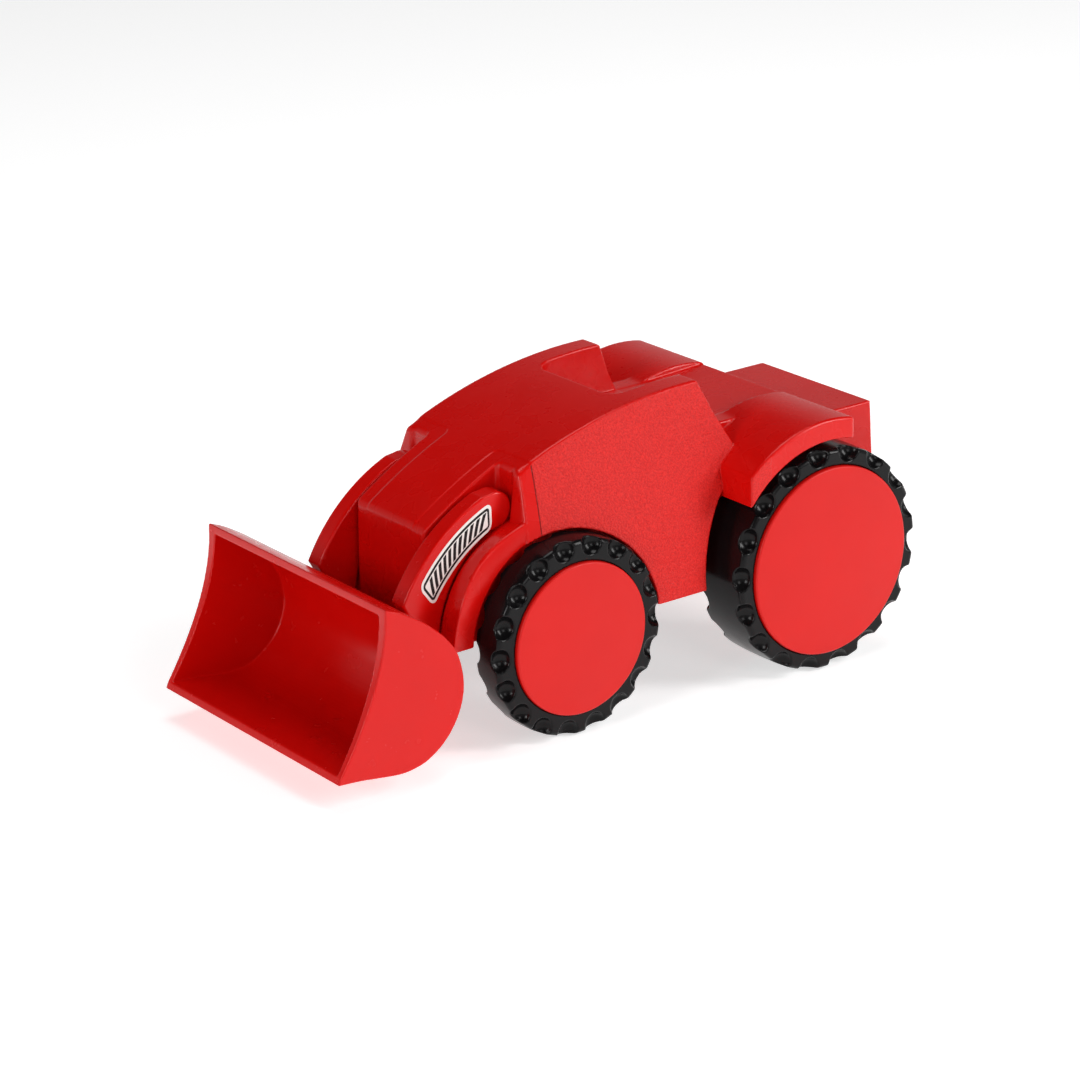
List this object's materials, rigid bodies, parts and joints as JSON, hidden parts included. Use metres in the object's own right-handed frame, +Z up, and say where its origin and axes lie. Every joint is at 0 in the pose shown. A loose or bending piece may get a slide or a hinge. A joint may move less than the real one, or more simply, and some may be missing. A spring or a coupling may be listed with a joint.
{
  "type": "toy front loader",
  "caption": "Moulded plastic toy front loader with an open cab, lifting arms, a wide tilting scoop bucket and wheels with dimpled tyres on steel axles.",
  "frame": {"origin": "middle of the footprint, at the height of the ground the wheels stand on", "axes": "+X forward, towards the bucket; +Y to the loader's left; +Z up"},
  "size_m": [0.2316, 0.1138, 0.0991],
  "materials": {
    "body_red": "semi-gloss, fine texture on the flared sides",
    "loader_red": "semi-gloss",
    "hub_red": "satin",
    "tyre_black": "glossy hard plastic",
    "chassis_dark": "matte",
    "steel": "drawn rod",
    "label": "printed paper label, plain"
  },
  "bodies": {
    "chassis": {"body_shell": "body_red", "chassis_plate": "chassis_dark", "chassis_screw_1": "steel", "chassis_screw_2": "steel", "chassis_screw_3": "steel", "chassis_screw_4": "steel"},
    "front_wheels": {"front_axle": "steel", "front_tyre_left": "tyre_black", "front_hub_left": "hub_red", "front_washer_left": "steel", "front_tyre_right": "tyre_black", "front_hub_right": "hub_red", "front_washer_right": "steel"},
    "rear_wheels": {"rear_axle": "steel", "rear_tyre_left": "tyre_black", "rear_hub_left": "hub_red", "rear_washer_left": "steel", "rear_tyre_right": "tyre_black", "rear_hub_right": "hub_red", "rear_washer_right": "steel"},
    "loader_arms": {"arm_left": "loader_red", "arm_right": "loader_red", "arm_pivot_rod": "steel", "bucket_pivot_rod": "steel", "label_left": "label", "label_right": "label"},
    "scoop": {"bucket": "loader_red"}
  },
  "joints": [
    {"name": "front_axle_spin", "type": "hinge", "parent": "chassis", "child": "front_wheels", "pos_m": [0.0229, 0, 0.03233], "axis": [0, 1, 0], "continuous": true},
    {"name": "rear_axle_spin", "type": "hinge", "parent": "chassis", "child": "rear_wheels", "pos_m": [-0.0721, 0, 0.0375], "axis": [0, 1, 0], "continuous": true},
    {"name": "arm_lift", "type": "hinge", "parent": "chassis", "child": "loader_arms", "pos_m": [0.0388, 0, 0.07255], "axis": [0, -1, 0], "range_deg": [0, 50]},
    {"name": "bucket_tilt", "type": "hinge", "parent": "loader_arms", "child": "scoop", "pos_m": [0.0652, 0, 0.03185], "axis": [0, 1, 0], "range_deg": [0, 65]}
  ]
}
